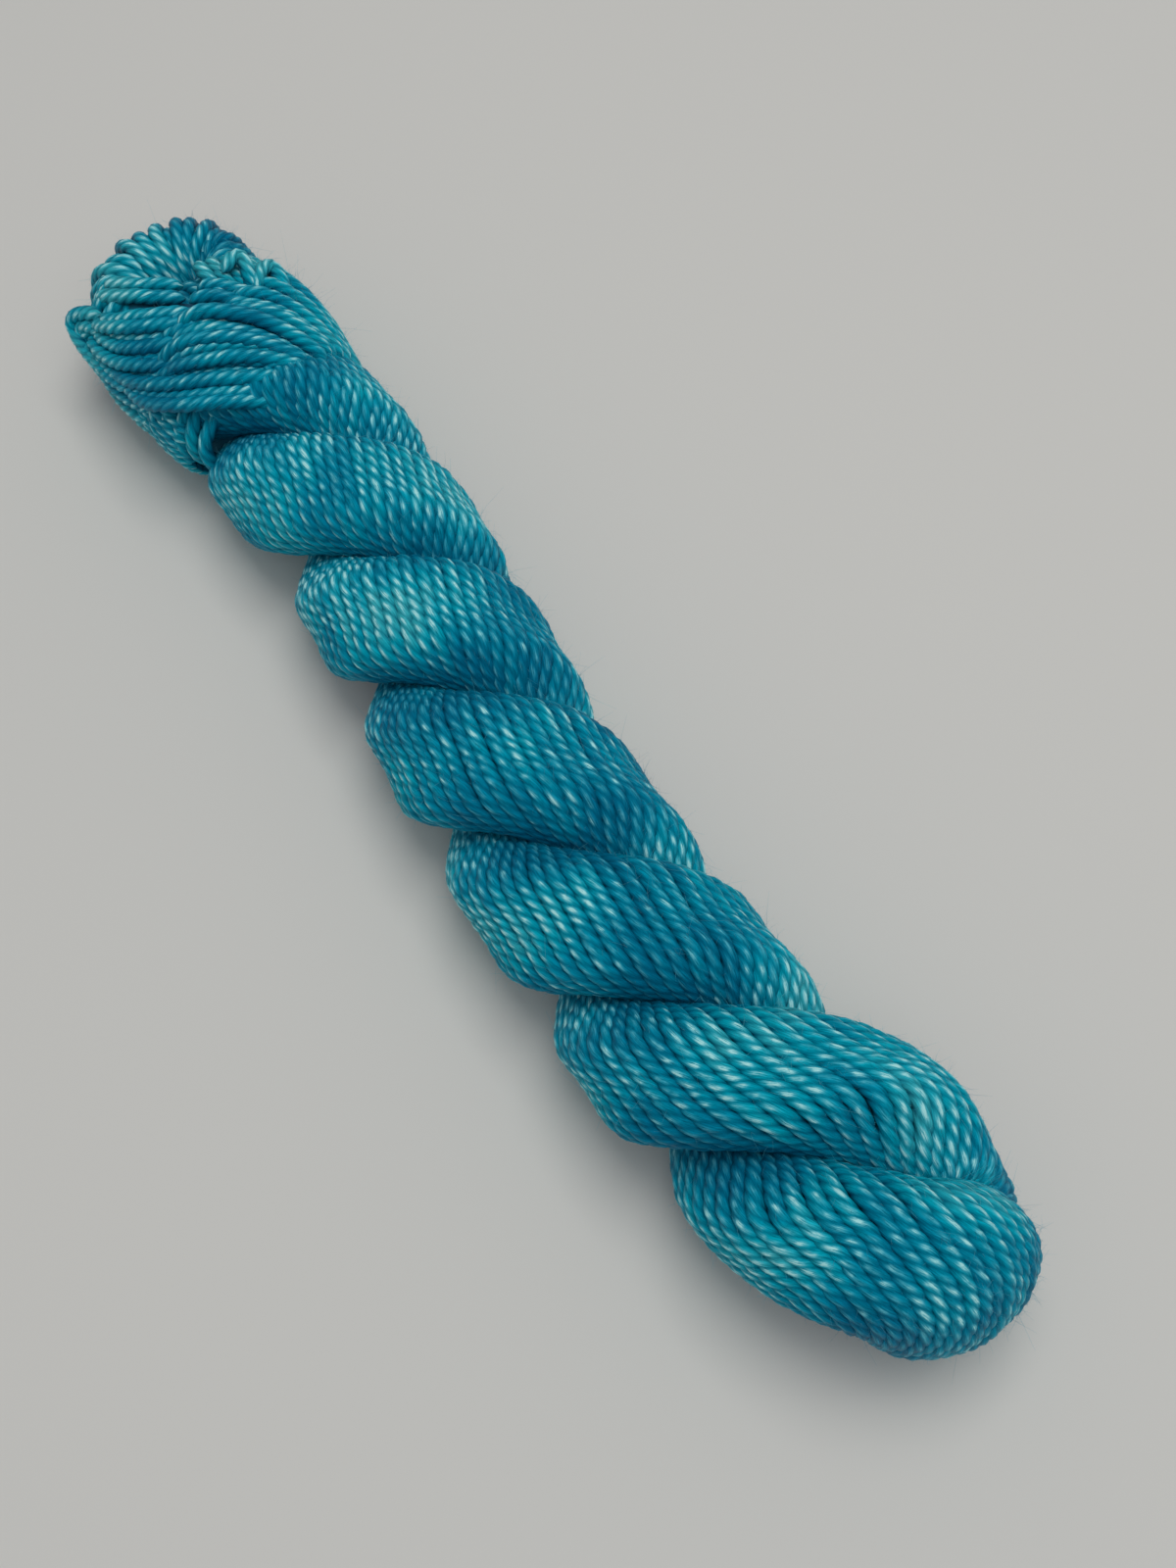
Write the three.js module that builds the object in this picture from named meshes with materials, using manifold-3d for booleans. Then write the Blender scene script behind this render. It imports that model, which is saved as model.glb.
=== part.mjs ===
// A skein of plied needlepoint thread. The thread is wound as a long ring, the ring is twisted and
// doubled on itself, so that two legs ply round each other, and one end is tucked through the other.
// The skein lies along X on the plane Z = 0, with its tucked head at -X and its fold at +X.
// Lengths are in millimetres, and angles in radians unless a name says degrees.
import * as THREE from 'three';
import { mergeVertices } from 'three/addons/utils/BufferGeometryUtils.js';
import Module from 'manifold-3d';

const wasm = await Module();
wasm.setup();

// The two legs. A row is a station along X: axisY is where the skein's axis lies, turns counts half
// turns of the legs round it, wide is half a leg's width along the crease between the legs, and deep
// is half its thickness across that crease.
const ROPE = [
  { x: -60, axisY: 0.4, turns: -1.8, wide: 7.6, deep: 5.2 },
  { x: -47, axisY: 0.4, turns: -0.9, wide: 8.6, deep: 6.0 },
  { x: -29.5, axisY: 0.5, turns: -0.02, wide: 8.9, deep: 6.1 },
  { x: -11.5, axisY: -1.4, turns: 0.98, wide: 9.2, deep: 6.0 },
  { x: 7, axisY: -3.9, turns: 1.94, wide: 9.4, deep: 6.1 },
  { x: 27, axisY: -4.9, turns: 2.88, wide: 9.5, deep: 6.2 },
  { x: 47, axisY: -4.8, turns: 3.93, wide: 9.7, deep: 6.6 },
  { x: 58, axisY: -2.7, turns: 4.42, wide: 9.8, deep: 7.2 },
  { x: 67, axisY: -1.7, turns: 4.8, wide: 9.1, deep: 6.8 },
];
const LEGS_START_X = -59;
const FOLD_X = 65.6;            // here each leg turns round the end into the other
const FOLD_TURN = 0.21;         // half turns that the fold adds at its tip
const FOLD_DRIFT = 0.15;        // how far the fold leans to +Y for each millimetre that it reaches out
const LEG_INTO_FOLD = 0.5;      // length that each leg and the fold share
const FIRST_LEAN = 1.5 * Math.PI; // way from the axis to the first leg at 0 half turns, straight down
const LEG_OVERLAP = 0.6;        // how far each leg is pressed past the skein's axis
const LAY_PER_HALF_TURN = 0.8;  // turns of the threads round a leg while the legs make a half turn
const OUTSIDE_POWER = 2.0;      // exponent of a leg's outward half, where 2 is an ellipse
const INSIDE_POWER = 2.6;       // exponent of its inward half, which the other leg presses flatter
const SLUMP = 0.9;              // share of its height that the soft skein keeps when it lies down
const PRESS = 0.6;              // depth of the flat spots where it lies on the surface
const LEAST_AWAY = 0.02;        // keeps the fold's section off the axis that it swings round

// The collar, a strap of threads that comes up on the left, crosses the top and gathers on the right.
// A row is an angle round X, from the left side at 0 over the top to the right side at 180. farX and
// nearX are the strap's two edges, and swell scales its distance from the head's middle.
const COLLAR = [
  { degrees: -50, farX: -66, nearX: -54, swell: 0.93 },
  { degrees: 0, farX: -73.5, nearX: -54, swell: 1.02 },
  { degrees: 45, farX: -70.5, nearX: -53, swell: 1.03 },
  { degrees: 90, farX: -61.5, nearX: -51, swell: 1.0 },
  { degrees: 135, farX: -56, nearX: -48.5, swell: 1.06 },
  { degrees: 180, farX: -56, nearX: -46, swell: 1.06 },
  { degrees: 230, farX: -54, nearX: -47, swell: 0.9 },
];
const COLLAR_Y = -0.4;
const COLLAR_HALF_WIDTH = 12.3;
const COLLAR_HALF_HEIGHT = 10.2;
const COLLAR_Z = COLLAR_HALF_HEIGHT - PRESS;
const COLLAR_INNER = 0.5;       // the strap's inner face, as a share of its distance from the middle
const COLLAR_EDGE = 0.9;        // the same share for its outer face along its two edges

// The rosette, the tucked end that fans out round a hollow behind the collar, and the core that fills
// the head beneath them.
const ROSETTE = { x: -68.2, y: -0.6, z: 8.4, halfLength: 10.6, halfWidth: 11.2, halfHeight: 8.2 };
const ROSETTE_TUBE = 0.46;      // thickness of the rosette's rim, as a share of its radius
const CORE = { x: -57, y: -0.3, z: 8.8, halfLength: 13, halfWidth: 10.6, halfHeight: 9.3 };

// The slab of surface that is taken off beneath the skein, larger than the skein all round.
const SURFACE = { length: 200, width: 60, depth: 10 };

// The middle of the skein's length and width, in the coordinates of the tables above.
const MIDDLE_X = -0.04;
const MIDDLE_Y = -2.45;

const LEG_SIDES = 22;
const LEG_STEPS = 44;
const FOLD_STEPS = 12;
const COLLAR_ROUND = 20;
const COLLAR_ACROSS = 5;
const ROSETTE_ROUND = 26;
const ROSETTE_SIDES = 12;
const CORE_SIDES = 20;
const MERGE_WITHIN = 1e-4;

const thread = new THREE.MeshStandardMaterial({ color: 0x1795a8, roughness: 0.72, metalness: 0 });

// Reads a column of a table on a smooth curve through its rows.
function between(table, key, column, at) {
  const last = table.length - 2;
  let row = 0;
  while (row < last && at > table[row + 1][key]) row += 1;
  const gap = (from) => table[from + 1][key] - table[from][key];
  const rise = (from) => (table[from + 1][column] - table[from][column]) / gap(from);
  const slope = (here) => {
    if (here === 0) return rise(0);
    if (here === last + 1) return rise(last);
    return (rise(here - 1) * gap(here) + rise(here) * gap(here - 1)) / (gap(here - 1) + gap(here));
  };
  const share = (at - table[row][key]) / gap(row);
  const rest = 1 - share;
  return rest ** 2 * (1 + 2 * share) * table[row][column]
    + rest ** 2 * share * gap(row) * slope(row)
    + share ** 2 * (3 - 2 * share) * table[row + 1][column]
    - share ** 2 * rest * gap(row) * slope(row + 1);
}

// A point of a leg's section at x. away is its distance from the skein's axis, and along is its
// place along the crease. reach is 1 on the leg's surface and 0 at its middle.
function sectionPoint(x, angle, reach) {
  const deep = between(ROPE, 'x', 'deep', x);
  const wide = between(ROPE, 'x', 'wide', x);
  const outward = Math.cos(angle);
  const sideways = Math.sin(angle);
  const power = 2 / (outward > 0 ? OUTSIDE_POWER : INSIDE_POWER);
  return {
    away: deep - LEG_OVERLAP + reach * deep * Math.sign(outward) * Math.abs(outward) ** power,
    along: reach * wide * Math.sign(sideways) * Math.abs(sideways) ** power,
  };
}

// Turns a section point round the skein's axis at x, and lets it slump onto the surface.
function placeRound(x, halfTurns, away, along, ahead = 0) {
  const radius = 2 * between(ROPE, 'x', 'deep', x) - LEG_OVERLAP;
  const lean = FIRST_LEAN - Math.PI * halfTurns;
  return new THREE.Vector3(
    x + ahead,
    between(ROPE, 'x', 'axisY', x) + ahead * FOLD_DRIFT + away * Math.cos(lean) - along * Math.sin(lean),
    SLUMP * (radius + away * Math.sin(lean) + along * Math.cos(lean)) - PRESS,
  );
}

// The threads wind round a leg against the legs' own turning, so that they end up nearly along X.
function layAngle(halfTurns) {
  return 2 * Math.PI * LAY_PER_HALF_TURN * halfTurns;
}

// Moves every vertex of a closed geometry to the place that a function gives for it.
function reshape(geometry, place) {
  geometry.deleteAttribute('normal');
  geometry.deleteAttribute('uv');
  const shape = mergeVertices(geometry, MERGE_WITHIN);
  const spots = shape.getAttribute('position');
  for (let index = 0; index < spots.count; index += 1) {
    const spot = place(new THREE.Vector3().fromBufferAttribute(spots, index));
    spots.setXYZ(index, spot.x, spot.y, spot.z);
  }
  return shape;
}

function toSolid(geometry) {
  const mesh = new wasm.Mesh({
    numProp: 3,
    vertProperties: new Float32Array(geometry.getAttribute('position').array),
    triVerts: new Uint32Array(geometry.index.array),
  });
  return new wasm.Manifold(mesh);
}

function fromSolid(solid) {
  const mesh = solid.getMesh();
  const geometry = new THREE.BufferGeometry();
  geometry.setAttribute('position', new THREE.BufferAttribute(mesh.vertProperties, 3));
  geometry.setIndex(new THREE.BufferAttribute(mesh.triVerts, 1));
  geometry.computeVertexNormals();
  return geometry;
}

// An upright cylinder of unit radius and height, whose height, angle and reach a leg or the fold reads.
function sweptCylinder(steps, place) {
  return reshape(new THREE.CylinderGeometry(1, 1, 1, LEG_SIDES, steps), (spot) => place(
    spot.y + 0.5,
    Math.atan2(spot.x, spot.z),
    Math.min(1, Math.hypot(spot.x, spot.z)),
  ));
}

// A leg, one half turn apart from the other.
function makeLeg(halfTurnsAhead) {
  const length = FOLD_X + LEG_INTO_FOLD - LEGS_START_X;
  return sweptCylinder(LEG_STEPS, (height, angle, reach) => {
    const x = LEGS_START_X + length * height;
    const halfTurns = between(ROPE, 'x', 'turns', x);
    const { away, along } = sectionPoint(x, angle + layAngle(halfTurns), reach);
    return placeRound(x, halfTurns + halfTurnsAhead, away, along);
  });
}

// The fold, a leg's section that swings half round the end of the skein's axis.
function makeFold() {
  const turnsHere = between(ROPE, 'x', 'turns', FOLD_X);
  return sweptCylinder(FOLD_STEPS, (height, angle, reach) => {
    const bend = Math.PI * height;
    const { away, along } = sectionPoint(FOLD_X, angle + layAngle(turnsHere + height), reach);
    const out = Math.max(away, LEAST_AWAY);
    const halfTurns = turnsHere + FOLD_TURN * Math.sin(bend);
    return placeRound(FOLD_X, halfTurns, out * Math.cos(bend), along, out * Math.sin(bend));
  });
}

// The collar, a box bent over the head. Its height runs round X and its width from edge to edge.
function makeCollar() {
  const first = COLLAR[0].degrees;
  const last = COLLAR[COLLAR.length - 1].degrees;
  const box = new THREE.BoxGeometry(1, 1, 1, COLLAR_ACROSS, COLLAR_ROUND, 1);
  return reshape(box, (spot) => {
    const degrees = first + (last - first) * (spot.y + 0.5);
    const angle = THREE.MathUtils.degToRad(degrees);
    const across = spot.x + 0.5;
    const farX = between(COLLAR, 'degrees', 'farX', degrees);
    const nearX = between(COLLAR, 'degrees', 'nearX', degrees);
    const rounded = THREE.MathUtils.lerp(COLLAR_EDGE, 1, Math.sin(Math.PI * across));
    const reach = spot.z > 0 ? between(COLLAR, 'degrees', 'swell', degrees) * rounded : COLLAR_INNER;
    return new THREE.Vector3(
      THREE.MathUtils.lerp(farX, nearX, across),
      COLLAR_Y - reach * COLLAR_HALF_WIDTH * Math.cos(angle),
      COLLAR_Z + reach * COLLAR_HALF_HEIGHT * Math.sin(angle),
    );
  });
}

function makeRosette() {
  const ring = new THREE.TorusGeometry(1 - ROSETTE_TUBE, ROSETTE_TUBE, ROSETTE_SIDES, ROSETTE_ROUND);
  return reshape(ring, (spot) => new THREE.Vector3(
    ROSETTE.x + spot.x * ROSETTE.halfLength,
    ROSETTE.y + spot.y * ROSETTE.halfWidth,
    ROSETTE.z + (spot.z / ROSETTE_TUBE) * ROSETTE.halfHeight,
  ));
}

function makeCore() {
  return reshape(new THREE.SphereGeometry(1, CORE_SIDES, CORE_SIDES / 2), (spot) => new THREE.Vector3(
    CORE.x + spot.x * CORE.halfLength,
    CORE.y + spot.y * CORE.halfWidth,
    CORE.z + spot.z * CORE.halfHeight,
  ));
}

function makeSurface() {
  const slab = new THREE.BoxGeometry(SURFACE.length, SURFACE.width, SURFACE.depth);
  return reshape(slab, (spot) => spot.setZ(spot.z - SURFACE.depth / 2));
}

// Joins the pieces, and keeps the outer surface alone, because where the fold turns round its axis
// the pieces can close round a speck of air.
function makeSkein() {
  const wound = [makeLeg(0), makeLeg(1), makeFold(), makeCore(), makeRosette(), makeCollar()]
    .map(toSolid)
    .reduce((whole, piece) => whole.add(piece))
    .subtract(toSolid(makeSurface()));
  return fromSolid(wound.decompose().find((shell) => shell.volume() > 0));
}

const skein = new THREE.Mesh(makeSkein(), thread);
skein.name = 'skein';
skein.position.set(-MIDDLE_X, -MIDDLE_Y, 0);

const part = new THREE.Group();
part.add(skein);

export default part;
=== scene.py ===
# %% [markdown]
# A skein of hand-dyed needlepoint thread, modelled for a reader who is learning Blender. The real
# thing is one long thread of a few plies, wound into a ring, twisted and doubled on itself. Two legs
# then ply round each other from the tucked head to the fold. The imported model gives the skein's
# solid form, and this script lays the single threads over that form, because the threads and their
# plies are what the eye sees.

# %% Load the fixed frame
import math

import bmesh
import bpy
import numpy as np
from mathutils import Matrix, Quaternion, Vector


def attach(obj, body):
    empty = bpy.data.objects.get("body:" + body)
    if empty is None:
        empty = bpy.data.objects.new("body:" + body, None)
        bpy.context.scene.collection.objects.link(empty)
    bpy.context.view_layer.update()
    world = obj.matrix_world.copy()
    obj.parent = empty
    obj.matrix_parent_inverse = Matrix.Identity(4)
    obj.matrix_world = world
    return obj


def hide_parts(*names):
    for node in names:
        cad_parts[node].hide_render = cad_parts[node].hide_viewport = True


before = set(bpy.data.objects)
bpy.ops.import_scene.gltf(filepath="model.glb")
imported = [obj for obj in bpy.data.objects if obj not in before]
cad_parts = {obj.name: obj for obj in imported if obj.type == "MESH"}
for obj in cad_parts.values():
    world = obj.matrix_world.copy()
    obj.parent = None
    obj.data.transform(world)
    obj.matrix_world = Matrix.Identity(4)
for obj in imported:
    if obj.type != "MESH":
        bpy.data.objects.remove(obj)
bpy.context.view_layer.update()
MM = 0.001
SEED = 11

# %% [markdown]
# The camera comes first, so that every later step can be looked at from the right place. It stands
# close over the fold end and looks down along the skein. The lens of 41.6 mm on Blender's 36 mm
# sensor is an assumed one, and the small roll tips the frame a little.

# %% Place the camera
CAMERA_PLACE = Vector((79.5, -38.8, 181.0)) * MM
CAMERA_AIM = Vector((11.9, 4.5, 10.0)) * MM
CAMERA_ROLL = math.radians(-3.28)
CAMERA_LENS = 41.6

camera = bpy.data.objects.new("camera", bpy.data.cameras.new("camera"))
bpy.context.scene.collection.objects.link(camera)
bpy.context.scene.camera = camera
camera.location = CAMERA_PLACE
camera.rotation_mode = "QUATERNION"
looking = (CAMERA_AIM - CAMERA_PLACE).to_track_quat("-Z", "Y")
camera.rotation_quaternion = looking @ Quaternion((0, 0, 1), CAMERA_ROLL)
camera.data.lens = CAMERA_LENS
camera.data.clip_start = 0.01
print("camera", round((CAMERA_AIM - CAMERA_PLACE).length / MM), "mm from its aim")

# %% [markdown]
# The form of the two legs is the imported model's own. Each row of the table is a station along the
# skein, and a smooth curve through the rows gives every place between them. The numbers are in
# millimetres, because a thread is easier to think of as 1.5 mm thick than as 0.0015 m.

# %% Describe the twisted legs
# columns: x, axis_y, half turns, half width along the crease, half depth across it
ROPE = np.array([
    (-60, 0.4, -1.8, 7.6, 5.2),
    (-47, 0.4, -0.9, 8.6, 6.0),
    (-29.5, 0.5, -0.02, 8.9, 6.1),
    (-11.5, -1.4, 0.98, 9.2, 6.0),
    (7, -3.9, 1.94, 9.4, 6.1),
    (27, -4.9, 2.88, 9.5, 6.2),
    (47, -4.8, 3.93, 9.7, 6.6),
    (58, -2.7, 4.42, 9.8, 7.2),
    (67, -1.7, 4.8, 9.1, 6.8),
])
AXIS_Y, TURNS, WIDE, DEEP = 1, 2, 3, 4
MIDDLE = np.array([-0.04, -2.45, 0.0])    # middle of the table's own coordinates
LEG_OVERLAP = 0.6
SLUMP = 0.9
PRESS = 0.6
FOLD_X = 65.6
FOLD_TURN = 0.21
FOLD_DRIFT = 0.15
INSIDE_POWER = 2.6


def smooth(table, column, at):
    """Read a column of a table on a smooth curve through its rows."""
    stations, values = table[:, 0], table[:, column]
    gap = np.diff(stations)
    rise = np.diff(values) / gap
    inner = (rise[:-1] * gap[1:] + rise[1:] * gap[:-1]) / (gap[:-1] + gap[1:])
    slope = np.concatenate([rise[:1], inner, rise[-1:]])
    row = np.clip(np.searchsorted(stations, at, side="right") - 1, 0, len(gap) - 1)
    share = (at - stations[row]) / gap[row]
    rest = 1 - share
    return (rest ** 2 * (1 + 2 * share) * values[row]
            + rest ** 2 * share * gap[row] * slope[row]
            + share ** 2 * (3 - 2 * share) * values[row + 1]
            - share ** 2 * rest * gap[row] * slope[row + 1])


def section(x, angle, inset):
    """Give a leg's section: how far a point is from the skein's axis, and where along the crease."""
    deep = smooth(ROPE, DEEP, x)
    wide = smooth(ROPE, WIDE, x)
    outward, sideways = np.cos(angle), np.sin(angle)
    power = np.where(outward > 0, 1.0, 2 / INSIDE_POWER)
    away = deep - LEG_OVERLAP + (deep - inset) * np.sign(outward) * np.abs(outward) ** power
    along = (wide - inset) * np.sign(sideways) * np.abs(sideways) ** power
    return away, along


def place_round(x, turns, away, along, ahead=0.0):
    """Turn a section point round the skein's axis, and let it slump onto the surface."""
    radius = 2 * smooth(ROPE, DEEP, x) - LEG_OVERLAP
    lean = np.pi * (1.5 - turns)
    y = smooth(ROPE, AXIS_Y, x) + ahead * FOLD_DRIFT + away * np.cos(lean) - along * np.sin(lean)
    z = SLUMP * (radius + away * np.sin(lean) + along * np.cos(lean)) - PRESS
    return np.stack(np.broadcast_arrays(x + ahead, y, z), -1) - MIDDLE


print("legs of", len(ROPE), "stations,", round(np.ptp(ROPE[:, TURNS]), 1), "half turns")

# %% [markdown]
# Threads lie side by side over a leg's section, so they are spaced by length round it, not by angle.
# A short table of arc length does that. As the legs turn, each thread also travels round its leg the
# other way, and comes out nearly in line with the skein. That travel is the lay.

# %% Space the threads round a leg
THREADS_ROUND_LEG = 29
THREAD_THICK = 1.80            # across the crests of its plies
# columns: half turns of the legs, and the turns round a leg for each half turn there
LAY = np.array([(-1.9, 1.1), (-0.6, 1.04), (0.6, 0.89), (2.0, 0.82), (3.3, 0.80), (4.9, 0.745), (7.5, 0.745)])

RIM_PLACES, RIM_X = 721, 7.0   # the rim is measured in this many places, near the skein's middle
TURN_PLACES = 300              # and the lay is added up in this many

walk = np.linspace(0, 2 * np.pi, RIM_PLACES)
rim = np.stack(section(np.full_like(walk, RIM_X), walk, THREAD_THICK / 2), -1)
steps = np.hypot(*np.diff(rim, axis=0).T)
RIM_LENGTH = steps.sum()
walked = np.concatenate([[0.0], np.cumsum(steps)])

turns_walk = np.linspace(LAY[0, 0], LAY[-1, 0], TURN_PLACES)
lay_walk = np.interp(turns_walk, *LAY.T)
travelled_walk = np.cumsum(lay_walk) * (turns_walk[1] - turns_walk[0])


def travel(turns):
    """Say how many times a thread has gone round its leg by a number of half turns."""
    return np.interp(turns, turns_walk, travelled_walk)


def rim_angle(share):
    """Turn a share of the way round a leg into the section's angle."""
    return np.interp(np.mod(share, 1.0), walked / RIM_LENGTH, walk)


print("rim", round(RIM_LENGTH, 1), "mm, a thread each", round(RIM_LENGTH / THREADS_ROUND_LEG, 2), "mm")

# %% [markdown]
# No thread lies quite straight. Soft waves, a few sine curves with random phases, push each one
# sideways and up or down. They are small against the spacing, so that neighbours don't tangle.

# %% Make soft waves
WAVE_SHARES = (1.0, 0.62, 0.41)    # of each curve, in its length and in its size
WAVE_TOTAL = 2.03              # the shares added up
random = np.random.default_rng(SEED)


def soft_wave(at, length, size):
    """Add up three sine curves of about the given wave length."""
    total = 0.0
    for share in WAVE_SHARES:
        total = total + share * np.sin(2 * np.pi * at / (length * share) + random.uniform(0, 2 * np.pi))
    return size * total / WAVE_TOTAL


print("soft waves of", len(WAVE_SHARES), "curves")

# %% [markdown]
# A thread's route goes out along one leg, round the fold, and back along the other. It could be drawn
# by hand, but 29 routes worked out from the legs' own form stay side by side. Near the head a route
# goes down under the collar's edge, and everywhere it is kept on or above the surface.

# %% Lay one thread along a leg, round the fold and back
LAY_STEP = 0.42                # millimetres along the skein between a route's first places
LEG_FROM = -56.0
# columns: y, and the x where the legs start to go down under the collar there
COLLAR_EDGE = np.array([(-12, -57), (-9, -54.5), (-4, -47.5), (2, -45), (12, -44.5)])
DIVE_LENGTH = 6.0
DIVE_DEPTH = 2.2
SHOWN_ROUND = 0.45             # share of the way round, each side of outward, that shows
ALL_SHOWN_TO = -42.0           # nearer the head than this the legs part, and every side may show
WANDER = 0.09                  # sideways, as a share of the spacing
RIDE_UP = 0.13                 # up and down, in millimetres
WANDER_LENGTH, RIDE_LENGTH = 55.0, 23.0    # wave lengths of the two, in millimetres
REST_Z = 0.78                  # a thread's middle lies this high where it touches the surface
FOLD_PLACES = 46


def rest_on_surface(points):
    """Lift a route's lowest places, softly, so that the thread lies on the surface."""
    soften = 0.3
    above = (points[:, 2] - REST_Z) / soften
    points[:, 2] = REST_Z + soften * np.logaddexp(0.0, above)
    return points


def add_way_out(places, places_under, crown):
    """Keep the way out of the surface, and how near its leg's crown each place is, beside the places."""
    crown = np.broadcast_to(crown, len(places))
    return np.concatenate([places, places - places_under, crown[:, None]], -1)


def lay_leg(x, turns, share, inset):
    """Route a thread along a leg, and let it go down under the collar's edge."""
    angle = rim_angle(share)
    raised = place_round(x, turns, *section(x, angle, inset))
    edge = np.interp(raised[:, 1] + MIDDLE[1], *COLLAR_EDGE.T)
    inset = inset + DIVE_DEPTH * np.clip((edge - x) / DIVE_LENGTH, 0.0, 1.0)
    places, under = (place_round(x, turns, *section(x, angle, inset + deeper)) for deeper in (0.0, 1.0))
    # the crown is 1 on a leg's outer side and -1 toward the other leg, and the material paints light and
    # shade by it
    return add_way_out(places, under, np.cos(2 * np.pi * share))


def lay_fold(bends, turns, share, inset):
    """Route a thread round the fold, by how far it has bent at each place."""
    away, along = section(np.full_like(bends, FOLD_X), rim_angle(share), inset)
    away = np.maximum(away, 0.05)
    return place_round(FOLD_X, turns, away * np.cos(bends), along, away * np.sin(bends))


def lay_thread(number):
    """Route one thread: along the first leg, round the fold, and back along the second."""
    start = number / THREADS_ROUND_LEG
    x_out = np.arange(LEG_FROM, FOLD_X, LAY_STEP)
    turns_out = smooth(ROPE, TURNS, x_out)
    fold_turns = smooth(ROPE, TURNS, np.array([FOLD_X]))[0]
    bends = np.linspace(0, np.pi, FOLD_PLACES + 2)[1:-1]
    count = 2 * len(x_out) + len(bends)
    travelled = np.arange(count) * LAY_STEP
    sideways = soft_wave(travelled, WANDER_LENGTH, WANDER) / THREADS_ROUND_LEG
    inset = THREAD_THICK / 2 - soft_wave(travelled, RIDE_LENGTH, RIDE_UP)
    out, fold, back = np.split(np.arange(count), [len(x_out), len(x_out) + len(bends)])

    share_out = start + travel(turns_out) + sideways[out]
    first = lay_leg(x_out, turns_out, share_out, inset[out])

    share_fold = start + travel(fold_turns + bends / np.pi) + sideways[fold]
    share_end = start + travel(fold_turns + 1) + travel(fold_turns)
    turned = fold_turns + FOLD_TURN * np.sin(bends)
    places, under = (lay_fold(bends, turned, share_fold, inset[fold] + deeper) for deeper in (0.0, 1.0))
    middle = add_way_out(places, under, np.cos(2 * np.pi * share_fold))

    x_back, turns_back = x_out[::-1], turns_out[::-1]
    share_back = -(share_end - travel(turns_back) + sideways[back])
    second = lay_leg(x_back, turns_back + 1, share_back, inset[back])

    points = rest_on_surface(np.concatenate([first, middle, second]))
    shares = np.concatenate([share_out, share_fold, share_back])
    shown = np.abs((shares + 0.5) % 1.0 - 0.5) < SHOWN_ROUND
    shown |= points[:, 0] < ALL_SHOWN_TO
    return points, shown


route, shown = lay_thread(0)
print("one thread has", len(route), "places,", int(shown.sum()), "of them in sight")

# %% [markdown]
# Where a thread runs deep between the two legs, nobody sees it. Each route is cut there, which saves
# faces, and each stretch is given even steps, so that its plies twist evenly.

# %% Cut the routes into stretches in sight
EVEN_STEP = 0.55              # millimetres between a thread's rings
SHORTEST = 4.0                # millimetres, and a shorter stretch is left out


def even_steps(points, step=EVEN_STEP):
    """Place points along a route again, an even step apart."""
    lengths = np.linalg.norm(np.diff(points[:, :3], axis=0), axis=1)
    far = np.concatenate([[0.0], np.cumsum(lengths)])
    count = max(2, round(far[-1] / step) + 1)
    wanted = np.linspace(0.0, far[-1], count)
    return np.stack([np.interp(wanted, far, column) for column in points.T], -1)


def stretches(points, shown):
    """Cut a route at its hidden places, and give back the stretches between them."""
    edges = np.flatnonzero(np.diff(np.concatenate([[False], shown, [False]]).astype(int)))
    runs = [points[low:high] for low, high in zip(edges[::2], edges[1::2]) if high - low > 2]
    return [even_steps(run) for run in runs if len(run) * LAY_STEP > SHORTEST]


print("the first thread shows in", len(stretches(route, shown)), "stretches")

# %% [markdown]
# A thread is a few plies twisted round each other like the middle stroke of the letter S. Its section
# has a soft lobe for each ply with a sharp valley between each pair. The section is carried along the
# route, squarely to the way out of the surface, and turned a little at each ring, so that the mesh's
# own edges follow the plies. How far each place is turned from the way out is kept for the painted
# highlights and painted shade. The plies lie 1.52 mm apart along the thread, and four of them give
# about the slant that the eye sees.

# %% Twist the plies along a route
PLIES = 4
PLY_APART = 1.52               # millimetres along the thread from a ply to the next
PLY_PITCH = PLIES * PLY_APART  # millimetres for one whole turn of the plies
SIDES = 16                     # places round a thread, four to a ply
VALLEY = 0.85                  # how far out the valley lies, as a share of the crest
TAPER = 1.2                    # millimetres over which a cut end closes
CLOSED = 0.02                  # how nearly it closes
LOBE_POWER = 0.8               # below 1, each ply is rounder and each valley sharper
# the legs are widest near the fold, and fuller threads meet there: x, and the share of the thickness
FULLER_X, FULLER = (25, 60), (1.0, 1.07)
UNEVEN = 0.012                 # how far the fibres stand in or out, as a share of the radius
# wave length in millimetres, and size: of the twist in radians, and of the radius as a share
TWIST_WAVE, RADIUS_WAVE = (19.0, 0.35), (9.0, 0.035)

around = np.arange(SIDES) / SIDES
lobe = np.abs(np.sin(np.pi * PLIES * around))
LOBES = VALLEY + (1 - VALLEY) * lobe ** LOBE_POWER


def plied_rings(route, thick, start_angle):
    """Give a thread's rings, and how each place in them is turned from the way out."""
    points, way_out, crown = route[:, :3], route[:, 3:6], route[:, 6:]
    ahead = np.gradient(points, axis=0)
    ahead /= np.linalg.norm(ahead, axis=1)[:, None]
    beside = np.cross(ahead, way_out)
    beside /= np.linalg.norm(beside, axis=1)[:, None]
    out = np.cross(beside, ahead)
    length = np.arange(len(points)) * EVEN_STEP
    turn = start_angle - 2 * np.pi * length / PLY_PITCH + soft_wave(length, *TWIST_WAVE)
    angle = turn[:, None] + 2 * np.pi * around[None, :]
    from_end = np.minimum(length, length[-1] - length)
    closing = np.sqrt(np.clip(from_end / TAPER, CLOSED, 1.0))
    fuller = np.interp(points[:, 0], FULLER_X, FULLER)
    radius = thick / 2 * fuller * closing * (1 + soft_wave(length, *RADIUS_WAVE))
    lumps = 1 + random.normal(0.0, UNEVEN, (len(points), SIDES))
    reach = (radius[:, None] * LOBES[None, :] * lumps)[:, :, None]
    facing = np.stack([np.cos(angle), np.sin(angle), np.broadcast_to(crown, angle.shape)], -1)
    spokes = out[:, None, :] * facing[..., :1] + beside[:, None, :] * facing[..., 1:2]
    return points[:, None, :] + reach * spokes, facing


print("a thread's section has", SIDES, "places round it")
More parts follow.
